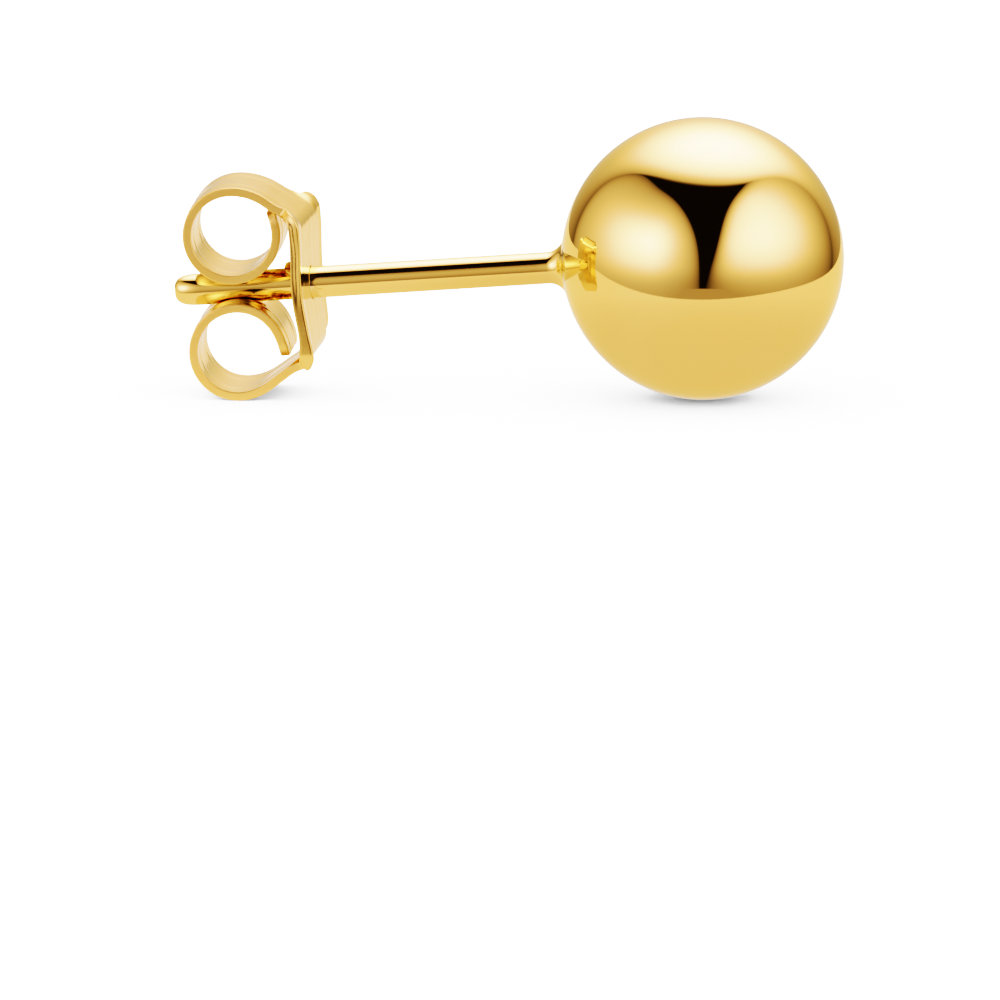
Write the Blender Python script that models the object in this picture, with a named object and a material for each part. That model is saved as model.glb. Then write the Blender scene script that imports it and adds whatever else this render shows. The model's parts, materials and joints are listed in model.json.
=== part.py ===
"""Gold ball stud earring with its butterfly clutch, lying on a flat surface as it would by itself.

Run it with: blender --background --python part.py
Units are metres and +Z is up. The ball and the clutch's lower scroll touch the plane z = 0, and the
middle of the earring's bounding box is above the origin. The post runs along X, with the ball at +X.
"""

from __future__ import annotations

import math
from collections.abc import Callable, Iterator
from dataclasses import dataclass, replace

import bmesh
import bpy
from mathutils import Vector

MM = 0.001

# The ball, the post and the solder between them
BALL_RADIUS = 4.0 * MM
POST_RADIUS = 0.45 * MM
POST_LENGTH = 11.0 * MM
SOLDER_FILLET = 0.5 * MM
TIP_ROUND_LENGTH = 0.75 * MM
TIP_FLAT_RADIUS = 0.2 * MM
TIP_EXPONENT = 3.0
TIP_REACH = BALL_RADIUS + POST_LENGTH

# The clutch's sheet. Its plate is this far behind the ball, which leaves room for the ear's lobe
SHEET_THICKNESS = 0.24 * MM
EDGE_BREAK = 0.05 * MM
LOBE_ROOM = 7.12 * MM
PLATE_HALF_WIDTH = 2.2 * MM
ARM_HALF_WIDTH = 1.55 * MM
PLATE_LEAN = math.radians(1.2)
PLATE_SKEW = math.radians(3.2)
SHOULDER_REACH = 0.66 * MM
SHOULDER_ROUND = 0.45 * MM
SHOULDER_EXPONENT = 2.3
SHOULDER_LAG = 0.22 * MM
NECK_LENGTH = 0.35 * MM
END_CORNER = 0.2 * MM
PLATE_AT = BALL_RADIUS + LOBE_ROOM + SHEET_THICKNESS / 2

# The arms, from the plate to the scrolls, all at the sheet's middle
FOLD_RADIUS = 0.45 * MM
ARM_SLOPE = math.radians(39.0)
ARM_RADIUS = 1.63 * MM
SCROLL_RADIUS = 1.25 * MM
TUCK_RADIUS = 1.1 * MM
SCROLL_BACK = 1.93 * MM
SCROLL_HEIGHT = 1.66 * MM

# The hole's lip, which stands out at the top, and what is left free round the post
RUNNING_GAP = 0.04 * MM
GROOVE_BLEND = 0.02 * MM
LIP_RADIUS = 0.64 * MM
LIP_REACH = 0.64 * MM
LIP_SLOPE = 1.25
LIP_SLOPE_START = 0.13 * MM

# Facets
ROUND_STEPS = 40
BALL_STEPS = 26
FILLET_STEPS = 5
TIP_STEPS = 6
HOLE_STEPS = 32
BEND_STEP = math.radians(9.0)
PLATE_STEP = 0.35 * MM
END_ANGLES = tuple(math.radians(angle) for angle in (30.0, 55.0, 78.0))

# Where the sheet's lengthwise lines lie, as shares of its half width: close together at the post
COLUMNS = (0.0, 0.1, 0.2, 0.3, 0.42, 0.58, 0.7, 0.82, 1.0)


@dataclass(frozen=True)
class Gold:
    """A gold finish, with the colour as linear RGB."""

    colour: tuple[float, float, float]
    roughness: float


BALL_GOLD = Gold((0.95, 0.67, 0.24), 0.05)
CLUTCH_GOLD = Gold((0.93, 0.68, 0.28), 0.16)


def heading_vector(heading: float) -> Vector:
    """The unit vector along a heading, with X forward and Z up."""
    return Vector((math.cos(heading), 0.0, math.sin(heading)))


def left_of(heading: float) -> Vector:
    """The unit vector to the left of a heading."""
    return Vector((-math.sin(heading), 0.0, math.cos(heading)))


def smooth_share(value: float) -> float:
    """0 at 0 or less, 1 at 1 or more, and smooth between them."""
    value = min(max(value, 0.0), 1.0)
    return value * value * (3.0 - 2.0 * value)


@dataclass(frozen=True)
class Run:
    """A stretch of the arm with one bend: straight, or an arc to the left."""

    length: float
    turn: float = 0.0

    @classmethod
    def arc(cls, radius: float, turn: float) -> Run:
        return cls(radius * turn, turn)

    def end(self, start: Vector, heading: float, walked: float) -> tuple[Vector, float]:
        """The point and heading after walking this far along the run."""
        if self.turn == 0.0:
            return start + heading_vector(heading) * walked, heading
        after = heading + self.turn * walked / self.length
        return start + (left_of(heading) - left_of(after)) * (self.length / self.turn), after


@dataclass(frozen=True)
class Place:
    """Where the sheet's middle is, and which way is out of the sheet."""

    point: Vector
    outward: Vector


@dataclass(frozen=True)
class Arm:
    """One arm of the clutch, worked out above the post and mirrored for the lower side.

    scroll_turn is how far the round scroll goes, and tuck_turn the tighter last stretch that draws its
    free end in under the arm.
    """

    side: int
    scroll_turn: float
    tuck_turn: float

    @property
    def start_heading(self) -> float:
        return math.pi / 2 + self.side * PLATE_LEAN

    @property
    def fold(self) -> Run:
        return Run.arc(FOLD_RADIUS, math.pi - ARM_SLOPE - self.start_heading)

    @property
    def runs(self) -> tuple[Run, ...]:
        """Plate, fold, straight, easing arc, scroll and tuck, which bring the scroll to its middle."""
        start, slope, top = self.start_heading, math.pi - ARM_SLOPE, math.pi
        rest = (
            Vector((-SCROLL_BACK, 0.0, SCROLL_HEIGHT))
            - FOLD_RADIUS * (left_of(start) - left_of(slope))
            - ARM_RADIUS * (left_of(slope) - left_of(top))
            - SCROLL_RADIUS * left_of(top)
        )
        along, across = heading_vector(start), heading_vector(slope)
        area = along.x * across.z - along.z * across.x
        return (
            Run((rest.x * across.z - rest.z * across.x) / area),
            self.fold,
            Run((along.x * rest.z - along.z * rest.x) / area),
            Run.arc(ARM_RADIUS, ARM_SLOPE),
            Run.arc(SCROLL_RADIUS, self.scroll_turn),
            Run.arc(TUCK_RADIUS, self.tuck_turn),
        )

    @property
    def shoulder_end(self) -> float:
        """How far from the hole the plate's shoulders reach."""
        return self.runs[0].length + SHOULDER_REACH

    @property
    def scroll_start(self) -> float:
        """How far along the arm its scroll starts."""
        return sum(run.length for run in self.runs[:4])

    @property
    def length(self) -> float:
        return sum(run.length for run in self.runs)

    def place(self, walked: float) -> Place:
        """The sheet's middle this far along the arm."""
        point, heading = Vector(), self.start_heading
        for run in self.runs:
            step = min(max(walked, 0.0), run.length)
            point, heading = run.end(point, heading, step)
            walked -= step
        return Place(self.on_side(point), self.on_side(-left_of(heading)))

    def shoulder_place(self, walked: float) -> Place:
        """The same for the plate's shoulders, which start to bend back a little later than the arm."""
        late = self.place(walked - SHOULDER_LAG)
        kept = min(walked, SHOULDER_LAG)
        return Place(late.point + self.on_side(heading_vector(self.start_heading)) * kept, late.outward)

    def on_side(self, vector: Vector) -> Vector:
        return Vector((vector.x, vector.y, vector.z * self.side))


ARMS = (
    Arm(side=-1, scroll_turn=math.radians(272.0), tuck_turn=0.0),
    Arm(side=1, scroll_turn=math.radians(228.0), tuck_turn=math.radians(75.0)),
)


@dataclass(frozen=True)
class Section:
    """One cross-section of the sheet: how far along which arm it is, how wide and how thick."""

    arm: Arm
    walked: float
    half_width: float
    half_thickness: float

    def outline(self) -> list[tuple[float, float]]:
        """The outline as (across the width, out of the sheet), with its corners broken."""
        thick = self.half_thickness
        edge = min(EDGE_BREAK, thick / 2)
        across = [-share for share in reversed(COLUMNS[1:])] + list(COLUMNS)
        across = [share * (self.half_width - edge) for share in across]
        return [
            *((y, thick) for y in across),
            (self.half_width, thick - edge),
            (self.half_width, edge - thick),
            *((y, -thick) for y in reversed(across)),
            (-self.half_width, edge - thick),
            (-self.half_width, thick - edge),
        ]

    def locate(self, y: float, out: float) -> Vector:
        """Where a point of the outline lies in the clutch's own frame, with the sheet's small bends."""
        place = self.arm.place(min(self.walked, self.arm.length))
        beyond_end = max(self.walked - self.arm.length, 0.0)
        point = place.point + place.outward * out + Vector((0.0, y, 0.0))
        point += Vector((-place.outward.z, 0.0, place.outward.x)) * (beyond_end * self.arm.side)
        shoulder = self.arm.shoulder_place(self.walked)
        aside = shoulder.point + shoulder.outward * out - point
        aside.y = 0.0
        point += aside * self.shoulder_share(y)
        point.x += y * math.tan(PLATE_SKEW) * self.plate_share()
        point.z += self.groove(y, (place.point + place.outward * self.half_thickness).z)
        return point

    def plate_share(self) -> float:
        """1 on the plate, falling to 0 where the scroll starts."""
        plate = self.arm.runs[0].length
        return 1.0 - smooth_share((self.walked - plate) / (self.arm.scroll_start - plate))

    def shoulder_share(self, y: float) -> float:
        """1 on the plate's shoulders, falling to 0 on the arm between and beyond them."""
        beside = smooth_share((abs(y) / ARM_HALF_WIDTH - 0.85) / 0.25)
        return beside * (1.0 - smooth_share((self.walked - self.arm.shoulder_end) / NECK_LENGTH))

    def groove(self, y: float, outer_z: float) -> float:
        """How far the scroll is pressed away from the post at this distance across its width."""
        if not self.arm.scroll_start < self.walked < self.arm.length:
            return 0.0
        needed = math.sqrt(max((POST_RADIUS + RUNNING_GAP) ** 2 - y**2, 0.0)) - abs(outer_z)
        if needed < 0.0:
            return math.copysign(GROOVE_BLEND * math.exp(needed / GROOVE_BLEND), outer_z)
        return math.copysign(needed + GROOVE_BLEND, outer_z)


def plate_half_width(arm: Arm, walked: float) -> float:
    """Half the sheet's width this far from the hole: wide on the plate, round at its shoulders."""
    share = min(max((walked - arm.shoulder_end) / SHOULDER_ROUND + 1.0, 0.0), 1.0)
    shoulder = (1.0 - share**SHOULDER_EXPONENT) ** (1.0 / SHOULDER_EXPONENT)
    return ARM_HALF_WIDTH + (PLATE_HALF_WIDTH - ARM_HALF_WIDTH) * shoulder


def arm_steps(arm: Arm) -> list[float]:
    """The lengths along an arm at which it has a section, closest at the shoulder's round corner."""
    steps = []
    reached = 0.0
    for run in arm.runs:
        count = math.ceil(max(run.turn / BEND_STEP, run.length / PLATE_STEP * (run.turn == 0.0)) - 1e-6)
        steps += [reached + run.length * (number + 1) / count for number in range(count)]
        reached += run.length
    corner_start = arm.shoulder_end - SHOULDER_ROUND
    corner = [corner_start + SHOULDER_ROUND * math.sin(math.radians(angle)) for angle in range(0, 91, 18)]
    apart = [step for step in steps if not corner[0] - PLATE_STEP / 3 < step < corner[-1] + PLATE_STEP / 6]
    return sorted(apart + corner)


def arm_sections(arm: Arm) -> list[Section]:
    """The cross-sections of one arm, from beside the hole to its rounded free end."""
    half = SHEET_THICKNESS / 2
    sections = [Section(arm, walked, plate_half_width(arm, walked), half) for walked in arm_steps(arm)]
    for angle in END_ANGLES:
        sections.append(
            replace(
                sections[-1],
                walked=arm.length + half * math.sin(angle),
                half_width=ARM_HALF_WIDTH - END_CORNER * (1.0 - math.cos(angle)),
                half_thickness=half * math.cos(angle),
            )
        )
    return sections


def rest_tilt() -> float:
    """The post's slope when the ball and the lower scroll's outer face both touch the floor."""
    scroll_at = PLATE_AT + SCROLL_BACK
    outer_radius = SCROLL_RADIUS + SHEET_THICKNESS / 2
    reach = math.hypot(scroll_at, SCROLL_HEIGHT)
    return math.asin((BALL_RADIUS - outer_radius) / reach) - math.atan2(SCROLL_HEIGHT, scroll_at)


def ball_post_profile() -> Iterator[tuple[float, float]]:
    """The turned outline of the ball, solder and post, as (distance towards the tip, radius)."""
    fillet_height = POST_RADIUS + SOLDER_FILLET
    fillet_middle = math.sqrt((BALL_RADIUS + SOLDER_FILLET) ** 2 - fillet_height**2)
    join = math.atan2(fillet_height, fillet_middle)
    for step in range(BALL_STEPS + 1):
        angle = math.pi - (math.pi - join) * step / BALL_STEPS
        yield BALL_RADIUS * math.cos(angle), BALL_RADIUS * math.sin(angle)
    for step in range(1, FILLET_STEPS + 1):
        angle = join + (math.pi / 2 - join) * step / FILLET_STEPS
        yield (
            fillet_middle - SOLDER_FILLET * math.cos(angle),
            fillet_height - SOLDER_FILLET * math.sin(angle),
        )
    flat_share = (1.0 - (TIP_FLAT_RADIUS / POST_RADIUS) ** TIP_EXPONENT) ** (1.0 / TIP_EXPONENT)
    for step in range(TIP_STEPS + 1):
        share = flat_share * math.sin(math.pi / 2 * step / TIP_STEPS)
        radius = POST_RADIUS * (1.0 - share**TIP_EXPONENT) ** (1.0 / TIP_EXPONENT)
        yield TIP_REACH - TIP_ROUND_LENGTH * (1.0 - share / flat_share), radius
    yield TIP_REACH, 0.0


def new_object(name: str, mesh: bpy.types.Mesh, gold: Gold | None = None) -> bpy.types.Object:
    """Links an object for this mesh into the scene, with its own gold unless it is only a guide."""
    thing = bpy.data.objects.new(name, mesh)
    bpy.context.scene.collection.objects.link(thing)
    if gold is not None:
        material = bpy.data.materials.new(name)
        material.use_nodes = True
        shader = material.node_tree.nodes["Principled BSDF"]
        shader.inputs["Base Color"].default_value = (*gold.colour, 1.0)
        shader.inputs["Metallic"].default_value = 1.0
        shader.inputs["Roughness"].default_value = gold.roughness
        mesh.materials.append(material)
        mesh.shade_smooth()
        mesh.set_sharp_from_angle(angle=math.radians(35.0))
    return thing


def mesh_from(name: str, shape: bmesh.types.BMesh) -> bpy.types.Mesh:
    """Turns a finished bmesh into a mesh with its faces outward."""
    bmesh.ops.recalc_face_normals(shape, faces=shape.faces)
    mesh = bpy.data.meshes.new(name)
    shape.to_mesh(mesh)
    shape.free()
    return mesh


def turned(name: str, profile: list[tuple[float, float]], steps: int) -> bpy.types.Mesh:
    """Spins a profile of (distance towards the tip, radius) once round the X axis."""
    shape = bmesh.new()
    verts = [shape.verts.new((-along, 0.0, -radius)) for along, radius in profile]
    edges = [shape.edges.new(pair) for pair in zip(verts, verts[1:])]
    bmesh.ops.spin(
        shape,
        geom=verts + edges,
        cent=(0.0, 0.0, 0.0),
        axis=(1.0, 0.0, 0.0),
        angle=math.tau,
        steps=steps,
        use_merge=True,
    )
    bmesh.ops.remove_doubles(shape, verts=shape.verts, dist=0.0005 * MM)
    return mesh_from(name, shape)


def lofted(name: str, sections: list[Section]) -> bpy.types.Mesh:
    """Joins the sheet's sections into one closed body with flat ends."""
    shape = bmesh.new()
    rings = [[shape.verts.new(section.locate(*spot)) for spot in section.outline()] for section in sections]
    for ring, following in zip(rings, rings[1:]):
        for number, vert in enumerate(ring):
            after = (number + 1) % len(ring)
            shape.faces.new((vert, ring[after], following[after], following[number]))
    shape.faces.new(reversed(rings[0]))
    shape.faces.new(rings[-1])
    return mesh_from(name, shape)


def rod(name: str, radius: float, front: float, back: Callable[[float], float]) -> bpy.types.Object:
    """A guide cylinder along X, from front to back, where back depends on the height alone."""
    shape = bmesh.new()
    angles = [math.tau * step / HOLE_STEPS for step in range(HOLE_STEPS)]
    circle = [(radius * math.cos(angle), radius * math.sin(angle)) for angle in angles]
    near = [shape.verts.new((front, y, z)) for y, z in circle]
    far = [shape.verts.new((back(z), y, z)) for y, z in circle]
    for number in range(HOLE_STEPS):
        after = (number + 1) % HOLE_STEPS
        shape.faces.new((near[number], near[after], far[after], far[number]))
    shape.faces.new(near)
    for number in range(-HOLE_STEPS // 4, HOLE_STEPS // 4):
        strip = (number, number + 1, HOLE_STEPS // 2 - number - 1, HOLE_STEPS // 2 - number)
        shape.faces.new(list(dict.fromkeys(far[step % HOLE_STEPS] for step in strip)))
    guide = new_object(name, mesh_from(name, shape))
    guide.hide_render = True
    guide.display_type = "WIRE"
    return guide


def add_boolean(target: bpy.types.Object, guide: bpy.types.Object, operation: str) -> None:
    """Joins a guide to the target or cuts it away, and lets the guide follow the target."""
    guide.parent = target
    modifier = target.modifiers.new(guide.name, "BOOLEAN")
    modifier.operation = operation
    modifier.solver = "EXACT"
    modifier.object = guide


def lip_back(z: float) -> float:
    """Where the hole's lip ends at this height. Its top is blunt, and its foot ends in the sheet."""
    below = max(LIP_RADIUS - LIP_SLOPE_START - z, 0.0)
    return min(LIP_SLOPE * below - LIP_REACH, -SHEET_THICKNESS / 8)


def make_stud_axis() -> bpy.types.Object:
    """The empty at the ball's middle whose X axis is the post's axis, towards the ball's front."""
    tilt = rest_tilt()
    tip_back = TIP_REACH * math.cos(tilt) + TIP_FLAT_RADIUS * math.sin(tilt)
    axis = bpy.data.objects.new("stud_axis", None)
    bpy.context.scene.collection.objects.link(axis)
    axis.location = ((tip_back - BALL_RADIUS) / 2, 0.0, BALL_RADIUS)
    axis.rotation_euler = (0.0, -tilt, 0.0)
    return axis


def make_ball_post(axis: bpy.types.Object) -> bpy.types.Object:
    """The ball, the post and the solder between them, as one turned solid."""
    mesh = turned("ball_post", list(ball_post_profile()), ROUND_STEPS)
    ball_post = new_object("ball_post", mesh, BALL_GOLD)
    ball_post.parent = axis
    return ball_post


def make_clutch(axis: bpy.types.Object) -> bpy.types.Object:
    """The folded sheet, with its punched hole and the lip behind it, at its place on the post."""
    lower, upper = (arm_sections(arm) for arm in ARMS)
    clutch = new_object("clutch", lofted("clutch", lower[::-1] + upper), CLUTCH_GOLD)
    clutch.parent = axis
    clutch.location = (-PLATE_AT, 0.0, 0.0)
    add_boolean(clutch, rod("lip_guide", LIP_RADIUS, 0.0, lip_back), "UNION")
    cut = SCROLL_BACK / 2
    add_boolean(clutch, rod("hole_cutter", POST_RADIUS + RUNNING_GAP, cut, lambda _: -cut), "DIFFERENCE")
    return clutch


def main() -> None:
    for thing in list(bpy.data.objects):
        bpy.data.objects.remove(thing, do_unlink=True)
    axis = make_stud_axis()
    make_ball_post(axis)
    make_clutch(axis)


main()
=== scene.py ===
"""Looks of a polished gold ball stud earring with its butterfly clutch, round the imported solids.

Units are metres and +Z is up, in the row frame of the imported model. The post lies along X with the
ball at +X, and the ball and the clutch's lower scroll rest on the table at z = 0.
"""

from __future__ import annotations

import json
import logging
import math
from collections.abc import Mapping, Sequence
from dataclasses import dataclass, field
from enum import IntEnum
from functools import cached_property
from typing import Any

import bpy
import numpy as np
from mathutils import Matrix, Vector

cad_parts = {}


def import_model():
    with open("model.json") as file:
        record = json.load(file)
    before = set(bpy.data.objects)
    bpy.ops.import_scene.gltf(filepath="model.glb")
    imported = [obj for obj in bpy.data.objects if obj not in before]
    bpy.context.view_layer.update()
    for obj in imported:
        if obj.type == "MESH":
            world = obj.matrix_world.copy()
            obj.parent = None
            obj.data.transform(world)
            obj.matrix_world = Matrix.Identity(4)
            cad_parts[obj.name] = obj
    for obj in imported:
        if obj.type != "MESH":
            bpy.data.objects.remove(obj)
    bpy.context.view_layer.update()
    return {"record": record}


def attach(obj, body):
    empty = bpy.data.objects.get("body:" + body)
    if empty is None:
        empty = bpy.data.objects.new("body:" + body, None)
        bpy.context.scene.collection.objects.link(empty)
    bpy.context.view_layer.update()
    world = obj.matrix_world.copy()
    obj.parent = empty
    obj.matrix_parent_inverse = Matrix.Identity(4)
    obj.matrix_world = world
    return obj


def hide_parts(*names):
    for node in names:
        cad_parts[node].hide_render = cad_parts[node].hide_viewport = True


MM = 0.001
DEGREES = 180.0 / math.pi
Array = np.ndarray
Colour = tuple[float, float, float]
log = logging.getLogger("ball_stud")


class Side(IntEnum):
    """A side of the clutch's sheet, across its length."""

    NEAR_CAMERA = -1
    FAR = 1


class Face(IntEnum):
    """A face of the clutch's sheet."""

    INNER = -1
    OUTER = 1


class Half(IntEnum):
    """Which way from the post an arm of the clutch goes."""

    LOWER = -1
    UPPER = 1


class Value:
    """A number that flows between nodes and takes part in Python arithmetic."""

    def __init__(self, graph: Graph, socket: bpy.types.NodeSocket) -> None:
        """Wraps a node's output socket.

        Args:
            graph: The graph that the socket belongs to.
            socket: The output socket.
        """
        self.graph = graph
        self.socket = socket

    def math(self, operation: str, *others: Value | float) -> Value:
        """Works this value out with a Math node.

        Args:
            operation: The node's operation.
            *others: Its further inputs.

        Returns:
            The result.
        """
        sockets = dict(enumerate((self, *others)))
        return self.graph.add("ShaderNodeMath", {"operation": operation}, sockets)[0]

    def __add__(self, other: Value | float) -> Value:
        """The sum."""
        return self.math("ADD", other)

    def __sub__(self, other: Value | float) -> Value:
        """The difference."""
        return self.math("SUBTRACT", other)

    def __rsub__(self, other: float) -> Value:
        """A number less this value."""
        return (self * -1.0).math("ADD", other)

    def __mul__(self, other: Value | float) -> Value:
        """The product."""
        return self.math("MULTIPLY", other)

    def __truediv__(self, other: Value | float) -> Value:
        """The quotient."""
        return self.math("DIVIDE", other)

    def __rtruediv__(self, other: float) -> Value:
        """A number divided by this value."""
        return self.math("POWER", -1.0).math("MULTIPLY", other)

    def __pow__(self, other: float) -> Value:
        """This value to a power."""
        return self.math("POWER", other)

    def __neg__(self) -> Value:
        """This value with its sign turned."""
        return self * -1.0

    def __abs__(self) -> Value:
        """This value without its sign."""
        return self.math("ABSOLUTE")

    __radd__ = __add__
    __rmul__ = __mul__

    def least(self, other: Value | float) -> Value:
        """The smaller of this value and the other."""
        return self.math("MINIMUM", other)

    def most(self, other: Value | float) -> Value:
        """The larger of this value and the other."""
        return self.math("MAXIMUM", other)

    def clamped(self) -> Value:
        """This value held between 0 and 1."""
        return self.least(1.0).most(0.0)

    def rise(self, start: float, end: float) -> Value:
        """A smooth step of this value.

        Args:
            start: Where the step is still 0.
            end: Where the step has reached 1. It may lie below start.

        Returns:
            The step, from 0 to 1.
        """
        share = ((self - start) / (end - start)).clamped()
        return share * share * (3.0 - 2.0 * share)


class Step:
    """A node that was added to a graph, whose outputs are read by name or number."""

    def __init__(self, graph: Graph, node: bpy.types.Node) -> None:
        """Wraps a node.

        Args:
            graph: The graph that the node belongs to.
            node: The node.
        """
        self.graph = graph
        self.node = node

    def __getitem__(self, output: str | int) -> Value:
        """One output of the node as a value."""
        return Value(self.graph, self.node.outputs[output])


class Graph:
    """A node tree that is built from Python expressions."""

    def __init__(self, tree: bpy.types.NodeTree) -> None:
        """Empties the tree.

        Args:
            tree: A material's, world's or Geometry Nodes tree.
        """
        self.tree = tree
        tree.nodes.clear()

    def add(
        self,
        kind: str,
        settings: Mapping[str, Any] | None = None,
        sockets: Mapping[str | int, Any] | None = None,
    ) -> Step:
        """Adds one node.

        Args:
            kind: The node's type name.
            settings: The node's own properties, which are set before its sockets.
            sockets: Values or links for its inputs, by name or number.

        Returns:
            The new node.
        """
        node = self.tree.nodes.new(kind)
        for name, value in (settings or {}).items():
            setattr(node, name, value)
        for name, value in (sockets or {}).items():
            if isinstance(value, Value):
                self.tree.links.new(value.socket, node.inputs[name])
            elif value is not None:
                node.inputs[name].default_value = value
        return Step(self, node)

    def vector(self, x: Value | float, y: Value | float, z: Value | float) -> Value:
        """Joins three numbers into a vector.

        Args:
            x: The first number.
            y: The second number.
            z: The third number.

        Returns:
            The vector.
        """
        return self.add("ShaderNodeCombineXYZ", sockets={0: x, 1: y, 2: z})[0]

    def parts(self, vector: Value) -> tuple[Value, Value, Value]:
        """Splits a vector into its three numbers."""
        step = self.add("ShaderNodeSeparateXYZ", sockets={0: vector})
        return step[0], step[1], step[2]

    def noise(self, vector: Value, scale: float, detail: float, roughness: float = 0.5) -> Value:
        """Smooth noise.

        Args:
            vector: Where the noise is read.
            scale: How many of its bumps fit in a unit of the vector.
            detail: How many finer layers are added.
            roughness: How strong the finer layers are.

        Returns:
            The noise, from 0 to 1 with 0.5 in the middle.
        """
        sockets = {"Vector": vector, "Scale": scale, "Detail": detail, "Roughness": roughness}
        return self.add("ShaderNodeTexNoise", {"noise_dimensions": "3D"}, sockets)[0]

    def mixed(self, share: Value, first: Colour, second: Colour) -> Value:
        """A colour between two.

        Args:
            share: 0 for the first colour, 1 for the second.
            first: The first colour, linear.
            second: The second colour, linear.

        Returns:
            The mixed colour.
        """
        sockets = {0: share, 6: (*first, 1.0), 7: (*second, 1.0)}
        return self.add("ShaderNodeMix", {"data_type": "RGBA"}, sockets)[2]


def squared(value: Value) -> Value:
    """A value times itself, which holds for negative ones too."""
    return value * value


def smooth_share(value: Array | float) -> Array:
    """0 at 0 or less, 1 at 1 or more, and smooth between them."""
    held = np.clip(value, 0.0, 1.0)
    return held * held * (3.0 - 2.0 * held)


def bell(distance: Array | float, width: float) -> Array:
    """A bump that is 1 at distance 0 and fades over the width."""
    return np.exp(-((np.asarray(distance) / width) ** 2))


@dataclass(frozen=True)
class PostAxis:
    """Where the post's axis lies in the row frame."""

    tip: Vector
    towards_ball: Vector

    @classmethod
    def of_record(cls, record: Mapping[str, Any]) -> PostAxis:
        """Reads the axis from the record's own mount on the post's tip.

        Args:
            record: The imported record.

        Returns:
            The axis.
        """
        mount = next(mount for mount in record["mounts"] if mount["name"] == "post_tip")
        return cls(Vector(mount["pos_m"]), -Vector(mount["axis"]).normalized())

    def placed_at(self, from_tip: float) -> Matrix:
        """The placement of a piece whose own X axis is the post's.

        Args:
            from_tip: How far towards the ball its origin is.

        Returns:
            The matrix from the piece's own frame to the row frame.
        """
        across = Vector((0.0, 1.0, 0.0))
        upward = self.towards_ball.cross(across)
        turn = Matrix((self.towards_ball, across, upward)).transposed().to_4x4()
        return Matrix.Translation(self.tip + self.towards_ball * from_tip) @ turn


@dataclass(frozen=True)
class GoldFinish:
    """A gold surface that only its fine marks make different from a perfect mirror."""

    name: str
    colour: Colour
    pale_colour: Colour
    edge_colour: Colour
    roughness: float
    hazed_roughness: float
    cut_roughness: float
    haze_scale: float
    grain_scale: Colour
    grain_height: float
    haze_detail: float = 3.0
    haze_from: float = 0.35
    haze_full: float = 0.75
    grain_detail: float = 2.0
    grain_depth: float = 0.6

    def surface(self, graph: Graph, where: Value, cut: Value) -> None:
        """Adds the shader and the material's output.

        Args:
            graph: The material's graph.
            where: The point, in millimetres, along the grain first.
            cut: 1 where the metal is duller, as on a sheared edge, and 0 elsewhere.
        """
        cloud = graph.noise(where, self.haze_scale, self.haze_detail).rise(self.haze_from, self.haze_full)
        roughness = cloud * (self.hazed_roughness - self.roughness) + self.roughness
        roughness = roughness * (1.0 - cut) + cut * self.cut_roughness
        stretched = graph.add(
            "ShaderNodeVectorMath", {"operation": "MULTIPLY"}, {0: where, 1: self.grain_scale}
        )[0]
        grain = graph.noise(stretched, 1.0, self.grain_detail, self.grain_depth)
        relief = graph.add(
            "ShaderNodeBump",
            sockets={"Strength": 1.0, "Distance": self.grain_height, "Height": grain},
        )[0]
        shader = graph.add(
            "ShaderNodeBsdfPrincipled",
            sockets={
                "Base Color": graph.mixed(cloud, self.colour, self.pale_colour),
                "Metallic": 1.0,
                "Specular Tint": (*self.edge_colour, 1.0),
                "Roughness": roughness,
                "Normal": relief,
            },
        )[0]
        graph.add("ShaderNodeOutputMaterial", sockets={"Surface": shader})


POLISHED_GOLD = GoldFinish(
    name="polished_gold",
    colour=(0.985, 0.622, 0.246),
    pale_colour=(0.988, 0.634, 0.262),
    edge_colour=(1.0, 0.92, 0.72),
    roughness=0.035,
    hazed_roughness=0.055,
    cut_roughness=0.09,
    haze_scale=0.35,
    grain_scale=(1.5, 40.0, 40.0),
    grain_height=0.00000006,
)
ROLLED_GOLD = GoldFinish(
    name="rolled_gold",
    colour=(0.98, 0.615, 0.235),
    pale_colour=(0.985, 0.64, 0.265),
    edge_colour=(1.0, 0.89, 0.67),
    roughness=0.13,
    hazed_roughness=0.2,
    cut_roughness=0.48,
    haze_scale=1.1,
    grain_scale=(0.8, 26.0, 26.0),
    grain_height=0.0000006,
)


class Piece:
    """What every piece of the earring shares: its name, its body and how it takes its place."""

    name: str
    body: str
    node: str
    record_slot: str

    def install(self, mesh: bpy.types.Mesh, placement: Matrix) -> bpy.types.Object:
        """Puts the finished mesh in the scene in place of its solid.

        Args:
            mesh: The mesh in the piece's own frame, with its material.
            placement: The matrix from that frame to the row frame.

        Returns:
            The piece's object, which sits at the origin.
        """
        mesh.transform(placement)
        mesh.shade_smooth()
        mesh.name = self.name
        thing = bpy.data.objects.new(self.name, mesh)
        bpy.context.scene.collection.objects.link(thing)
        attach(thing, self.body)
        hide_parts(self.node)
        log.info("%s: %d faces", self.name, len(mesh.polygons))
        return thing


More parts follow.
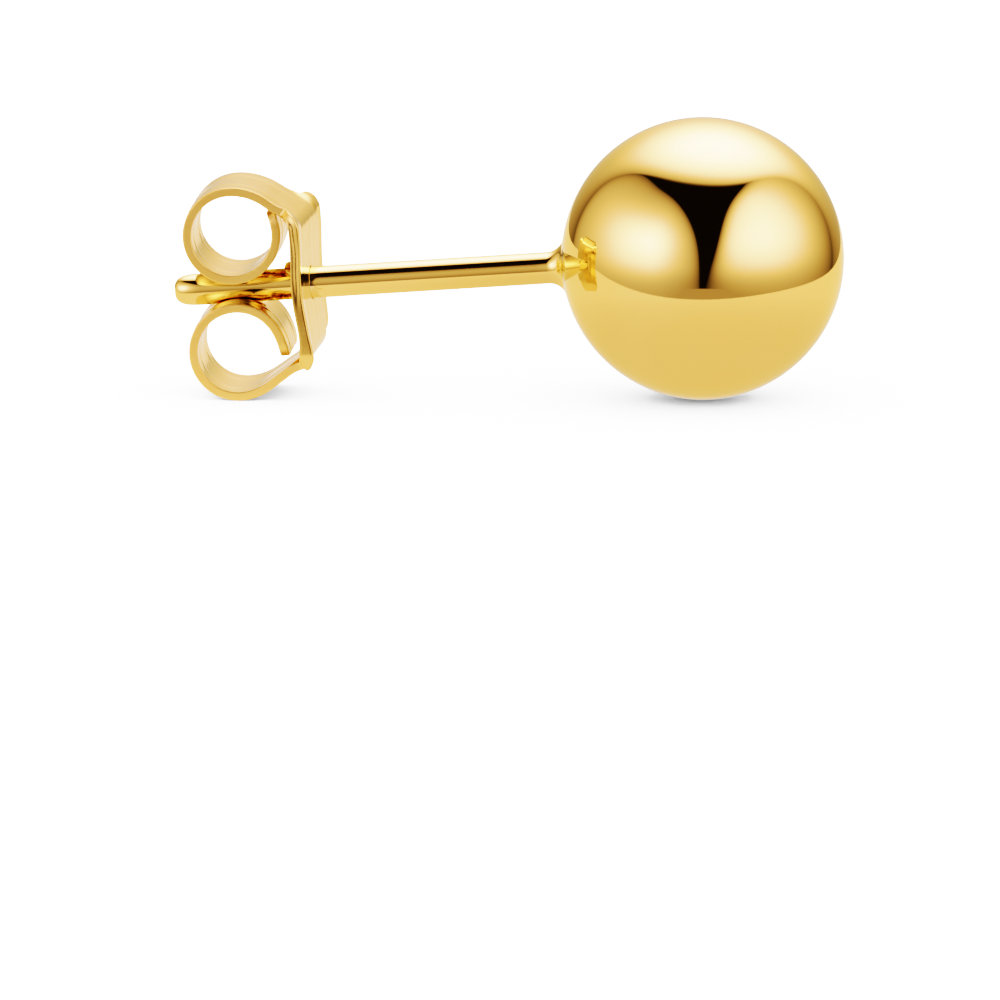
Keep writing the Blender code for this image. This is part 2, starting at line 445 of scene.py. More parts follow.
@dataclass
class BallAndPost(Piece):
    """The ball, the post and the solder between them, turned from one outline by Geometry Nodes."""

    name: str = "polished_ball_and_post"
    body: str = "stud"
    node: str = "ball_post"
    record_slot: str = "polished_gold"
    ball_radius: float = 4.0 * MM
    post_radius: float = 0.45 * MM
    post_length: float = 11.0 * MM
    solder_fillet: float = 0.5 * MM
    tip_round_length: float = 0.75 * MM
    tip_flat_radius: float = 0.2 * MM
    tip_exponent: float = 3.0
    ball_rings: int = 190
    fillet_rings: int = 24
    post_rings: int = 30
    tip_rings: int = 26
    flat_rings: int = 4
    sides: int = 160
    merge_reach: float = 0.0001 * MM
    lines_blend: float = 0.3
    finish: GoldFinish = POLISHED_GOLD

    @property
    def rings(self) -> int:
        """How many rings of faces the outline has in all."""
        rings = self.ball_rings + self.fillet_rings + self.post_rings
        return rings + self.tip_rings + self.flat_rings

    @property
    def length(self) -> float:
        """From the ball's middle to the post's tip."""
        return self.ball_radius + self.post_length

    def build(self, axis: PostAxis) -> bpy.types.Object:
        """Builds the piece.

        Args:
            axis: The post's axis.

        Returns:
            Its object.
        """
        blank = bpy.data.meshes.new(self.name)
        maker = bpy.data.objects.new(self.name, blank)
        bpy.context.scene.collection.objects.link(maker)
        modifier = maker.modifiers.new("turned_outline", "NODES")
        modifier.node_group = self.turning()
        given = {
            "Ball Radius": self.ball_radius,
            "Post Radius": self.post_radius,
            "Post Length": self.post_length,
            "Solder Fillet": self.solder_fillet,
            "Tip Round Length": self.tip_round_length,
            "Tip Flat Radius": self.tip_flat_radius,
            "Material": self.material(axis),
        }
        for item in modifier.node_group.interface.items_tree:
            if item.in_out == "INPUT" and item.name in given:
                modifier[item.identifier] = given[item.name]
        evaluated = maker.evaluated_get(bpy.context.evaluated_depsgraph_get())
        mesh = bpy.data.meshes.new_from_object(evaluated)
        bpy.data.objects.remove(maker, do_unlink=True)
        return self.install(mesh, axis.placed_at(self.length))

    def turning(self) -> bpy.types.NodeTree:
        """The Geometry Nodes tree that bends a flat grid round the X axis.

        Returns:
            The tree, whose inputs are the outline's sizes and the material.
        """
        tree = bpy.data.node_groups.new("turned_stud", "GeometryNodeTree")
        for name in ("Ball Radius", "Post Radius", "Post Length"):
            tree.interface.new_socket(name, in_out="INPUT", socket_type="NodeSocketFloat")
        for name in ("Solder Fillet", "Tip Round Length", "Tip Flat Radius"):
            tree.interface.new_socket(name, in_out="INPUT", socket_type="NodeSocketFloat")
        tree.interface.new_socket("Material", in_out="INPUT", socket_type="NodeSocketMaterial")
        tree.interface.new_socket("Mesh", in_out="OUTPUT", socket_type="NodeSocketGeometry")
        graph = Graph(tree)
        given = graph.add("NodeGroupInput")
        grid = graph.add(
            "GeometryNodeMeshGrid",
            sockets={"Vertices X": self.rings + 1, "Vertices Y": self.sides + 1},
        )
        along, around, _ = graph.parts(graph.add("GeometryNodeInputPosition")[0])
        distance, radius = self.outline(given, (along + 0.5) * float(self.rings))
        angle = (around + 0.5) * -math.tau
        place = graph.vector(-distance, radius * angle.math("SINE"), radius * angle.math("COSINE"))
        bent = graph.add("GeometryNodeSetPosition", sockets={"Geometry": grid["Mesh"], "Position": place})
        closed = graph.add(
            "GeometryNodeMergeByDistance", sockets={"Geometry": bent[0], "Distance": self.merge_reach}
        )
        dressed = graph.add(
            "GeometryNodeSetMaterial",
            sockets={"Geometry": closed[0], "Material": given["Material"]},
        )
        real = graph.add("GeometryNodeRealizeInstances", sockets={"Geometry": dressed[0]})
        graph.add("NodeGroupOutput", sockets={"Mesh": real[0]})
        return tree

    def outline(self, given: Step, ring: Value) -> tuple[Value, Value]:
        """The turned outline, which is the sum of its stretches.

        Args:
            given: The tree's inputs.
            ring: The number of the ring, counted from the ball's front.

        Returns:
            The distance from the ball's middle towards the tip, and the radius.
        """

        def stretch(rings: int) -> Value:
            """How much of the outline's next stretch lies behind the ring, from 0 to 1."""
            nonlocal begun
            share = ((ring - float(begun)) / float(rings)).clamped()
            begun += rings
            return share

        begun = 0
        ball, post, fillet = given["Ball Radius"], given["Post Radius"], given["Solder Fillet"]
        rise = (post + fillet) / (ball + fillet)
        join = rise.math("ARCSINE")
        turn = math.pi - stretch(self.ball_rings) * (math.pi - join)
        distance, radius = ball * turn.math("COSINE"), ball * turn.math("SINE")
        turn = join + stretch(self.fillet_rings) * (math.pi / 2 - join)
        distance += fillet * (join.math("COSINE") - turn.math("COSINE"))
        radius += fillet * (rise - turn.math("SINE"))
        shoulder = join.math("COSINE") * (ball + fillet)
        straight = ball + given["Post Length"] - given["Tip Round Length"] - shoulder
        distance += stretch(self.post_rings) * straight
        power = self.tip_exponent
        flat = (1.0 - (given["Tip Flat Radius"] / post) ** power) ** (1.0 / power)
        sunk = (stretch(self.tip_rings) * (math.pi / 2)).math("SINE")
        distance += sunk * given["Tip Round Length"]
        radius += post * ((1.0 - (sunk * flat) ** power).most(0.0) ** (1.0 / power) - 1.0)
        radius += stretch(self.flat_rings) * -given["Tip Flat Radius"]
        return distance, radius.most(0.0)

    def material(self, axis: PostAxis) -> bpy.types.Material:
        """Polished gold whose fine lines run along the post.

        Args:
            axis: The post's axis, along which the lines run.

        Returns:
            The material.
        """
        material = bpy.data.materials.new(self.finish.name)
        material.use_nodes = True
        graph = Graph(material.node_tree)
        lean = math.asin(axis.towards_ball.z)
        where = graph.add(
            "ShaderNodeMapping",
            sockets={
                "Vector": graph.add("ShaderNodeTexCoord")["Object"],
                "Rotation": (0.0, lean, 0.0),
                "Scale": (1.0 / MM, 1.0 / MM, 1.0 / MM),
            },
        )[0]
        along = graph.parts(where)[0]
        post_end = (axis.tip + axis.towards_ball * self.post_length).x / MM
        on_post = along.rise(post_end + self.lines_blend, post_end - self.lines_blend)
        self.finish.surface(graph, where, on_post)
        return material


@dataclass(frozen=True)
class Stretch:
    """A stretch of the clutch's sheet with one bend. Its turn is 0 where it is straight."""

    length: float
    turn: float = 0.0

    @classmethod
    def arc(cls, radius: float, turn: float) -> Stretch:
        """A stretch that bends round this radius."""
        return cls(radius * turn, turn)


def direction(heading: Array | float) -> Array:
    """Unit vectors along a heading, as X and Z."""
    return np.stack([np.cos(heading), np.sin(heading)], axis=-1)


def left_of(heading: Array | float) -> Array:
    """Unit vectors to the left of a heading, as X and Z."""
    return np.stack([-np.sin(heading), np.cos(heading)], axis=-1)


@dataclass
class Arm:
    """One arm of the clutch, worked out above the post and mirrored for the lower side."""

    side: Half
    scroll_turn: float
    tuck_turn: float
    tuck_radius: float
    scroll_radius: float
    scroll_height: float
    near_reach: float
    far_reach: float
    far_round: float
    near_flare: float
    far_flare: float
    scroll_back: float
    near_round: float = 0.45 * MM
    plate_lean: float = math.radians(1.2)
    fold_radius: float = 0.45 * MM
    arm_slope: float = math.radians(39.0)
    arm_radius: float = 1.63 * MM

    @property
    def start_heading(self) -> float:
        """The plate's own heading at the hole."""
        return math.pi / 2 + self.side * self.plate_lean

    @cached_property
    def stretches(self) -> tuple[Stretch, ...]:
        """Plate, fold, straight, easing arc, scroll and tuck, which bring the scroll to its middle."""
        start, slope, top = self.start_heading, math.pi - self.arm_slope, math.pi
        rest = (
            np.array([-self.scroll_back, self.scroll_height])
            - self.fold_radius * (left_of(start) - left_of(slope))
            - self.arm_radius * (left_of(slope) - left_of(top))
            - self.scroll_radius * left_of(top)
        )
        plate, straight = np.linalg.solve(np.stack([direction(start), direction(slope)], axis=1), rest)
        return (
            Stretch(float(plate)),
            Stretch.arc(self.fold_radius, slope - start),
            Stretch(float(straight)),
            Stretch.arc(self.arm_radius, self.arm_slope),
            Stretch.arc(self.scroll_radius, self.scroll_turn),
            Stretch.arc(self.tuck_radius, self.tuck_turn),
        )

    @property
    def plate_length(self) -> float:
        """From the hole's middle to the fold."""
        return self.stretches[0].length

    @property
    def scroll_start(self) -> float:
        """How far along the arm its scroll starts."""
        return sum(stretch.length for stretch in self.stretches[:4])

    @property
    def length(self) -> float:
        """The arm's whole length from the hole's middle."""
        return sum(stretch.length for stretch in self.stretches)

    def shoulder(self, side: Side) -> tuple[float, float]:
        """Where a shoulder ends and how much of it is round.

        Args:
            side: Which shoulder.

        Returns:
            The length walked to its end, and the length over which it is round.
        """
        if side is Side.NEAR_CAMERA:
            return self.plate_length + self.near_reach, self.near_round
        return self.plate_length + self.far_reach, self.far_round

    def trace(self, walked: Array) -> tuple[Array, Array]:
        """The middle of the sheet and its outward side along the arm.

        Args:
            walked: Lengths along the arm. Past its end the arm goes on straight.

        Returns:
            The points and the outward unit vectors, each as X and Z.
        """
        heading = self.start_heading
        headings = np.full(walked.shape, heading)
        points = np.zeros((*walked.shape, 2))
        reached = 0.0
        for stretch in self.stretches:
            step = np.clip(walked - reached, 0.0, stretch.length)
            if stretch.turn == 0.0:
                points += direction(heading) * step[..., None]
            else:
                turned = heading + stretch.turn * step / stretch.length
                points += (left_of(heading) - left_of(turned)) * (stretch.length / stretch.turn)
                headings += turned - heading
            heading += stretch.turn
            reached += stretch.length
        points += direction(headings) * np.maximum(walked - reached, 0.0)[..., None]
        mirror = np.array([1.0, self.side])
        return points * mirror, -left_of(headings) * mirror


@dataclass
class Blank:
    """The flat sheet before it is folded: its places as (along, across) and the faces between them."""

    places: list[tuple[float, float]] = field(default_factory=list)
    faces: list[tuple[int, ...]] = field(default_factory=list)
    outline: list[int] = field(default_factory=list)
    hole: list[int] = field(default_factory=list)

    def add(self, along: float, across: float) -> int:
        """Adds a place and returns its number."""
        self.places.append((along, across))
        return len(self.places) - 1

    def join(self, row: Sequence[int], following: Sequence[int]) -> None:
        """Fills the strip between two rows of places with faces."""
        for number in range(len(row) - 1):
            self.faces.append((row[number], following[number], following[number + 1], row[number + 1]))


@dataclass
class Clutch(Piece):
    """The butterfly clutch: one sheet with a lipped hole, folded and rolled into two scrolls."""

    name: str = "rolled_clutch"
    body: str = "clutch"
    node: str = "clutch"
    record_slot: str = "pressed_gold"
    finish: GoldFinish = ROLLED_GOLD

    from_tip: float = 3.76 * MM
    thickness: float = 0.25 * MM
    edge_round: float = 0.035 * MM
    plate_half_width: float = 2.2 * MM
    arm_half_width: float = 1.55 * MM
    plate_skew: float = math.radians(3.2)
    shoulder_exponent: float = 2.3
    shoulder_lag: float = 0.16 * MM
    neck_round: float = 0.12 * MM
    neck_length: float = 0.35 * MM
    end_corner: float = 0.42 * MM

    hole_radius: float = 0.475 * MM
    hole_round: float = 0.03 * MM
    lip_radius: float = 0.64 * MM
    lip_reach: float = 0.52 * MM
    lip_slope: float = 1.25
    lip_slope_start: float = 0.13 * MM
    groove_radius: float = 0.5 * MM
    groove_blend: float = 0.03 * MM
    groove_spare: float = 0.19 * MM

    patch_reach: float = 1.15 * MM
    patch_rings: int = 26
    patch_side_rows: int = 24
    columns: int = 60
    bend_step: float = math.radians(2.6)
    plain_step: float = 0.06 * MM
    finest_step: float = 0.002 * MM
    round_steps: int = 12
    column_crowding: float = 1.25
    ring_crowding: float = 1.9

    glossy_plate: float = 1.7 * MM
    glossy_fade: float = 0.7 * MM
    glossy_share: float = 0.8

    swell: float = 0.16
    swell_reach: float = 0.55 * MM
    swell_fade: float = 0.45 * MM
    foot_swell: float = 0.5
    foot_reach: float = 1.1 * MM
    foot_fade: float = 0.9 * MM

    flute_depth: float = 0.035 * MM
    flute_level: float = 0.05
    flute_width: float = 0.33
    flute_start: float = -0.6 * MM
    flute_rise: float = 1.2 * MM
    flute_end: float = 1.9 * MM
    flute_fade: float = 0.5 * MM

    relief_start: float = 1.9 * MM
    relief_fade: float = 0.8 * MM
    streak_height: float = 0.001 * MM
    crease_at: float = 0.8 * MM
    crease_width: float = 0.07 * MM
    crease_height: float = 0.014 * MM
    edge_fall: float = 0.012 * MM
    edge_fall_width: float = 0.06 * MM

    lip_softness: float = 0.06 * MM
    lip_inset: float = 0.03 * MM
    lip_fade: float = 0.09 * MM
    shoulder_blend_from: float = 0.85
    shoulder_blend: float = 0.25

    lower: Arm = field(
        default_factory=lambda: Arm(
            side=Half.LOWER,
            scroll_turn=math.radians(243.0),
            tuck_turn=math.radians(25.0),
            tuck_radius=1.9 * MM,
            scroll_radius=1.26 * MM,
            scroll_height=1.645 * MM,
            scroll_back=1.98 * MM,
            near_reach=0.55 * MM,
            far_reach=-0.04 * MM,
            far_round=0.5 * MM,
            arm_slope=math.radians(33.5),
            arm_radius=1.5 * MM,
            near_flare=0.11 * MM,
            far_flare=0.03 * MM,
        )
    )
    upper: Arm = field(
        default_factory=lambda: Arm(
            side=Half.UPPER,
            scroll_turn=math.radians(230.0),
            tuck_turn=math.radians(68.0),
            tuck_radius=1.3 * MM,
            scroll_radius=1.26 * MM,
            scroll_height=1.68 * MM,
            scroll_back=1.91 * MM,
            near_reach=0.66 * MM,
            far_reach=0.66 * MM,
            far_round=0.45 * MM,
            near_flare=0.085 * MM,
            far_flare=0.09 * MM,
        )
    )

    def build(self, axis: PostAxis) -> bpy.types.Object:
        """Builds the piece.

        Args:
            axis: The post's axis.

        Returns:
            Its object.
        """
        blank = self.blank()
        along, across = np.array(blank.places).T
        count = len(along)
        half = self.half_thickness(along, across)
        outer = self.fold(along, across, half + self.relief(along, across, Face.OUTER))
        depth = half + self.relief(along, across, Face.INNER) + self.lip(along, across)
        inner = self.fold(along, across, -depth)
        points = [outer, inner]
        flat = [np.stack([along, across], axis=-1)] * 2
        rims = [np.zeros(count), np.zeros(count)]
        faces = [face[::-1] for face in blank.faces]
        faces += [tuple(place + count for place in face) for face in blank.faces]
        for loop, closing, edge in (
            (blank.outline, False, self.edge_round),
            (blank.hole, True, self.hole_round),
        ):
            base = sum(len(chunk) for chunk in points)
            rows = self.rim_rows(along[loop], across[loop], edge, closing)
            numbers = [loop]
            for row_along, row_across, row_out in rows:
                points.append(self.fold(row_along, row_across, row_out))
                flat.append(np.stack([row_along, row_across + row_out], axis=-1))
                on_plate = 1.0 - smooth_share((np.abs(row_along) - self.glossy_plate) / self.glossy_fade)
                rims.append(1.0 - self.glossy_share * on_plate)
                numbers.append(list(range(base, base + len(loop))))
                base += len(loop)
            numbers.append([place + count for place in loop])
            for row, following in zip(numbers, numbers[1:]):
                for spot in range(len(loop)):
                    after = (spot + 1) % len(loop)
                    faces.append((row[spot], row[after], following[after], following[spot]))
        mesh = bpy.data.meshes.new(self.name)
        mesh.from_pydata(np.concatenate(points).tolist(), [], faces)
        self.keep_maps(mesh, np.concatenate(flat) / MM, np.concatenate(rims))
        mesh.materials.append(self.material())
        mesh.validate()
        return self.install(mesh, axis.placed_at(self.from_tip))

    def keep_maps(self, mesh: bpy.types.Mesh, flat: Array, rims: Array) -> None:
        """Stores where each point lies on the flat sheet, and whether it is on a cut edge.

        Args:
            mesh: The clutch's mesh.
            flat: The place of each point on the flat sheet, in millimetres.
            rims: 1 for points on a cut edge, 0 for the rest.
        """
        corners = np.zeros(len(mesh.loops), dtype=np.int32)
        mesh.loops.foreach_get("vertex_index", corners)
        layer = mesh.uv_layers.new(name="flat_sheet")
        layer.data.foreach_set("uv", flat[corners].astype(np.float32).ravel())
        edge = mesh.attributes.new("cut_edge", "FLOAT", "POINT")
        edge.data.foreach_set("value", rims.astype(np.float32))

    def half_width(self, arm: Arm, walked: float, side: Side) -> float:
        """How wide the sheet is on one side of its middle line, less its rounded edge.

        Args:
            arm: The arm.
            walked: How far along it.
            side: Which side.

        Returns:
            The width: large on the plate, round at its shoulder and at the free end.
        """
        root, rounded = arm.shoulder(side)
        narrow = self.arm_half_width - self.edge_round
        wide = self.plate_half_width - self.edge_round
        if walked <= root:
            share = min(max((walked - root) / rounded + 1.0, 0.0), 1.0)
            bulge = (1.0 - share**self.shoulder_exponent) ** (1.0 / self.shoulder_exponent)
            waist = narrow + self.neck_round
            return waist + (wide - waist) * bulge
        if walked <= root + self.neck_round:
            left = root + self.neck_round - walked
            return narrow + self.neck_round - math.sqrt(self.neck_round**2 - left**2)
        corner = self.end_corner - self.edge_round
        past = walked - (arm.length - self.edge_round - corner)
        if past <= 0.0:
            return narrow
        return narrow - corner + math.sqrt(max(corner**2 - past**2, 0.0))

    def row_lengths(self, arm: Arm) -> list[float]:
        """The lengths along an arm at which the flat sheet has a row of places.

        Args:
            arm: The arm.

        Returns:
            The lengths, from the edge of the patch round the hole to the free end.
        """
        reached, even = 0.0, [self.patch_reach]
        for stretch in arm.stretches:
            steps = max(abs(stretch.turn) / self.bend_step, stretch.length / (self.plain_step * 2))
            count = max(1, math.ceil(steps))
            even += [reached + stretch.length * (number + 1) / count for number in range(count)]
            reached += stretch.length
        corner = self.end_corner - self.edge_round
        end = arm.length - self.edge_round
        angles = [math.pi / 2 * number / self.round_steps for number in range(self.round_steps + 1)]
        crowded = [[end + corner * (math.sin(angle) - 1.0) for angle in angles]]
        for side in Side:
            root, rounded = arm.shoulder(side)
            crowded.append([root + rounded * (math.sin(angle) - 1.0) for angle in angles])
            crowded.append([root + self.neck_round * (1.0 - math.cos(angle)) for angle in angles])
        spans = [(min(group) - self.plain_step / 4, max(group) + self.plain_step / 4) for group in crowded]
        kept = [step for step in even if self.patch_reach <= step < end]
        kept = [step for step in kept if not any(low < step < high for low, high in spans)]
        steps = sorted([*kept, self.patch_reach, *(step for group in crowded for step in group)])
        spaced = [steps[0]]
        for step in steps[1:]:
            if step - spaced[-1] > self.finest_step:
                spaced.append(step)
        return [*spaced[:-1], end] if end - spaced[-1] < self.finest_step else [*spaced, end]

    def column_shares(self) -> list[float]:
        """Where the sheet's lengthwise lines lie, as shares of its half width."""
        spread = [2.0 * number / self.columns - 1.0 for number in range(self.columns + 1)]
        return [math.copysign(1.0 - (1.0 - abs(share)) ** self.column_crowding, share) for share in spread]

    def blank(self) -> Blank:
        """Lays out the flat sheet: two arms of even rows and a round patch about the hole.

        Returns:
            The flat sheet, with its outline and hole as closed loops.
        """
        blank = Blank()
        shares = self.column_shares()
        halves = {}
        for arm in (self.lower, self.upper):
            rows = []
            for walked in self.row_lengths(arm):
                near, far = (self.half_width(arm, walked, side) for side in Side)
                widths = [share * (near if share < 0.0 else far) for share in shares]
                rows.append([blank.add(walked * arm.side, width) for width in widths])
            ordered = rows if arm.side > 0 else [row[::-1] for row in rows]
            for row, following in zip(ordered, ordered[1:]):
                blank.join(row, following)
            halves[arm.side] = rows
        up, down = halves[Half.UPPER], halves[Half.LOWER]
        half = self.plate_half_width - self.edge_round
        steps = range(1, self.patch_side_rows)
        levels = [self.patch_reach * (1.0 - 2.0 * step / self.patch_side_rows) for step in steps]
        right = [blank.add(level, half) for level in levels]
        left = [blank.add(level, -half) for level in levels]
        ring = [*up[0], *right, *down[0][::-1], *left[::-1]]
        for number in range(1, self.patch_rings + 1):
            kept = (1.0 - number / self.patch_rings) ** self.ring_crowding
            following = []
            for place in ring if number == 1 else first:
                along, across = blank.places[place]
                reach = math.hypot(along, across)
                inner = (self.hole_radius + self.hole_round) / reach
                share = inner + (1.0 - inner) * kept
                following.append(blank.add(along * share, across * share))
            if number == 1:
                first = ring
            blank.join([*following, following[0]], [*ring, ring[0]])
            ring = following
        blank.hole = ring[::-1]
        blank.outline = [
            *(row[-1] for row in up[::-1]),
            *right,
            *(row[-1] for row in down),
            *down[-1][1:-1][::-1],
            *(row[0] for row in down[::-1]),
            *left[::-1],
            *(row[0] for row in up),
            *up[-1][1:-1],
        ]
        return blank

    def rim_rows(
        self, along: Array, across: Array, edge: float, is_hole: bool
    ) -> list[tuple[Array, Array, Array]]:
        """The rows of a cut edge, from the outer face's side to the inner face's.

        Args:
            along: The loop's places along the sheet.
            across: The same across it.
            edge: The radius that its corners are rounded to.
            is_hole: Whether the loop is the hole, whose lip stands out.

        Returns:
            Each row as its places along, across and out of the sheet.
        """
        ahead = np.stack([np.roll(along, -1), np.roll(across, -1)])
        behind = np.stack([np.roll(along, 1), np.roll(across, 1)])
        tangent = ahead - behind
        tangent /= np.linalg.norm(tangent, axis=0)
        normal = np.stack([tangent[1], -tangent[0]])
        if is_hole:
            normal = -np.stack([along, across]) / np.hypot(along, across)
        elif float(np.sum(normal[1] * across)) < 0.0:
            normal = -normal
        half = self.half_thickness(along, across)
        front = half + self.relief(along, across, Face.OUTER)
        back = -half - self.relief(along, across, Face.INNER)
        if is_hole:
            back = back - self.lip(along, across)
        turns = [math.radians(angle) for angle in (22.5, 45.0, 67.5, 90.0)]
        rows = [(edge * math.sin(turn), front - edge * (1.0 - math.cos(turn))) for turn in turns]
        walls = (0.2, 0.4, 0.6, 0.8)
        rows += [(edge, (front - edge) * (1.0 - share) + (back + edge) * share) for share in walls]
        rows += [(edge * math.sin(turn), back + edge * (1.0 - math.cos(turn))) for turn in turns[::-1]]
        out = []
        for reach, level in rows:
            depth = reach if is_hole else reach - self.flute(along, across, level / half)
            out.append((along + normal[0] * depth, across + normal[1] * depth, level))
        return out

    def half_thickness(self, along: Array, across: Array) -> Array:
        """Half the sheet's thickness, which swells at the plate's sheared edges.

        Args:
            along: Places along the sheet.
            across: Places across it.

        Returns:
            The half thickness at each place.
        """
        past = np.abs(across) - self.plate_half_width + self.swell_reach
        beside = smooth_share(past / self.swell_fade)
        end = self.lower.shoulder(Side.NEAR_CAMERA)[0]
        foot = smooth_share((-along - end + self.foot_reach) / self.foot_fade) * (across < 0.0)
        return self.thickness / 2 * (1.0 + beside * (self.swell + self.foot_swell * foot))

    def flute(self, along: Array, across: Array, level: Array) -> Array:
        """How deep the wavy groove along the plate's near edge is.

        Args:
            along: Places along the sheet.
            across: Places across it.
            level: Heights through the thickness, from -1 to 1.

        Returns:
            The depth at each place.
        """
        upper = smooth_share((along - self.flute_start) / self.flute_rise)
        upper = upper * (1.0 - smooth_share((along - self.flute_end) / self.flute_fade))
        sway = 0.12 * np.sin(along / (0.42 * MM)) + 0.06 * np.sin(along / (0.17 * MM) + 1.0)
        near = (across < 0.0) * upper
        return near * self.flute_depth * bell(level - self.flute_level - sway, self.flute_width)

    def relief(self, along: Array, across: Array, face: Face) -> Array:
        """The sheet's own unevenness, as a height above one face.

        Args:
            along: Places along the sheet.
            across: Places across it.
            face: Which face.

        Returns:
            The height at each place.
        """
        on_plate = 1.0 - smooth_share((np.abs(along) - self.relief_start) / self.relief_fade)
        streak = np.sin(across / (0.11 * MM) + 0.4 * np.sin(along / (0.5 * MM)))
        streak += 0.7 * np.sin(across / (0.19 * MM) + 0.7 + 0.3 * np.sin(along / (0.8 * MM)))
        crease = bell(np.abs(across) - self.crease_at, self.crease_width) * (1.0 - on_plate)
        fall = np.exp((np.abs(across) - self.arm_half_width) / self.edge_fall_width) * (1.0 - on_plate)
        relief = on_plate * streak * self.streak_height + crease * self.crease_height
        if face is Face.OUTER:
            relief = relief - np.minimum(fall, 1.0) * self.edge_fall
        return relief

    def lip(self, along: Array, across: Array) -> Array:
        """How far the punched hole's lip stands out behind the plate.

        Args:
            along: Places along the sheet.
            across: Places across it.

        Returns:
            The lip's height at each place.
        """
        reach = np.hypot(along, across)
        level = along * self.lip_radius / np.maximum(reach, 1e-9)
        below = np.maximum(self.lip_radius - self.lip_slope_start - level, 0.0)
        height = np.maximum(self.lip_reach - self.lip_slope * below, 0.0)
        height = height - self.lip_softness * (1.0 - np.exp(-height / self.lip_softness))
        past = reach - self.lip_radius + self.lip_inset
        return height * (1.0 - smooth_share(past / self.lip_fade))

    def fold(self, along: Array, across: Array, out: Array) -> Array:
        """Folds places of the flat sheet to where they lie on the finished clutch.

        Args:
            along: Places along the sheet.
            across: Places across it.
            out: Their heights out of the sheet's middle.

        Returns:
            The points, in the clutch's own frame.
        """
        points = np.zeros((len(along), 3))
        for arm in (self.lower, self.upper):
            own = (along * arm.side > 0.0) | ((along == 0.0) & (arm.side > 0))
            walked, y, rise = np.abs(along[own]), across[own], out[own]
            middle, outward = arm.trace(walked)
            plain = middle + outward * rise[:, None]
            late, late_outward = arm.trace(np.maximum(walked - self.shoulder_lag, 0.0))
            straight = direction(arm.start_heading) * np.array([1.0, arm.side])
            late = late + straight * np.minimum(walked, self.shoulder_lag)[:, None]
            near, far = (arm.shoulder(side)[0] for side in Side)
            root = np.where(y < 0.0, near, far)
            past = np.abs(y) / self.arm_half_width - self.shoulder_blend_from
            beside = smooth_share(past / self.shoulder_blend)
            beside = beside * (1.0 - smooth_share((walked - root) / self.neck_length))
            plain += (late + late_outward * rise[:, None] - plain) * beside[:, None]
            to_scroll = (walked - arm.plate_length) / (arm.scroll_start - arm.plate_length)
            settled = 1.0 - smooth_share(to_scroll)
            plain[:, 0] += y * math.tan(self.plate_skew) * settled
            to_far = (y / self.plate_half_width + 1.0) / 2.0
            flare = arm.near_flare + (arm.far_flare - arm.near_flare) * to_far
            plain[:, 0] += flare * smooth_share(walked / arm.plate_length) * settled
            surface = (middle + outward * (self.thickness / 2))[:, 1]
            chord = np.sqrt(np.maximum(self.groove_radius**2 - y**2, 0.0))
            needed = np.where(walked > arm.scroll_start, chord - np.abs(surface), -1.0 * MM)
            lift = self.groove_blend * np.log1p(np.exp(needed / self.groove_blend))
            through = np.clip(rise / self.thickness + 0.5, 0.0, 1.0)
            inner_lift = np.maximum(lift - self.groove_spare, 0.0)
            plain[:, 1] += arm.side * (lift * through + inner_lift * (1.0 - through))
            points[own] = np.stack([plain[:, 0], y, plain[:, 1]], axis=-1)
        return points

    def material(self) -> bpy.types.Material:
        """Rolled gold whose grain follows the flat sheet, with duller cut edges.

        Returns:
            The material.
        """
        material = bpy.data.materials.new(self.finish.name)
        material.use_nodes = True
        graph = Graph(material.node_tree)
        sheet = graph.add("ShaderNodeUVMap", {"uv_map": "flat_sheet"})["UV"]
        cut = graph.add("ShaderNodeAttribute", {"attribute_name": "cut_edge"})["Fac"]
        self.finish.surface(graph, sheet, cut)
        return material


@dataclass(frozen=True)
class Softbox:
    """A glowing panel of the studio, as seen from the earring. Its angles are in degrees."""

    middle: float
    half_width: float
    waist: float
    height: float
    side_power: float
    top_power: float
    foot_lean: float
    head_lean: float
    softness: float
    rim_shade: float
    rim_reach: float
    lamp_azimuth: float
    lamp_elevation: float
    lamp: float
    lamp_near: float
    lamp_far: float
    lamp_above: float
    lamp_below: float
    cloth: float

    def glow(self, azimuth: Value, elevation: Value) -> Value:
        """The panel's light in a direction.

        Args:
            azimuth: Degrees round from the camera, to the right.
            elevation: Degrees above the horizon.

        Returns:
            Its light there, which is 0 outside the panel.
        """
        above = elevation - self.waist
        head, foot = above.most(0.0), above.least(0.0)
        aside = azimuth - foot * self.foot_lean - head * self.head_lean - self.middle
        out = abs(aside / self.half_width) ** self.side_power + (head / self.height) ** self.top_power
        depth = 1.0 - out
        shade = 1.0 - (depth.most(0.0) / -self.rim_reach).math("EXPONENT") * self.rim_shade
        outward = (azimuth - self.lamp_azimuth) * math.copysign(1.0, self.middle)
        upward = elevation - self.lamp_elevation
        spread = squared(outward.most(0.0) / self.lamp_far) + squared(outward.least(0.0) / self.lamp_near)
        spread += squared(upward.most(0.0) / self.lamp_above) + squared(upward.least(0.0) / self.lamp_below)
        return depth.rise(0.0, self.softness) * shade * (self.lamp / (spread + 1.0) + self.cloth)


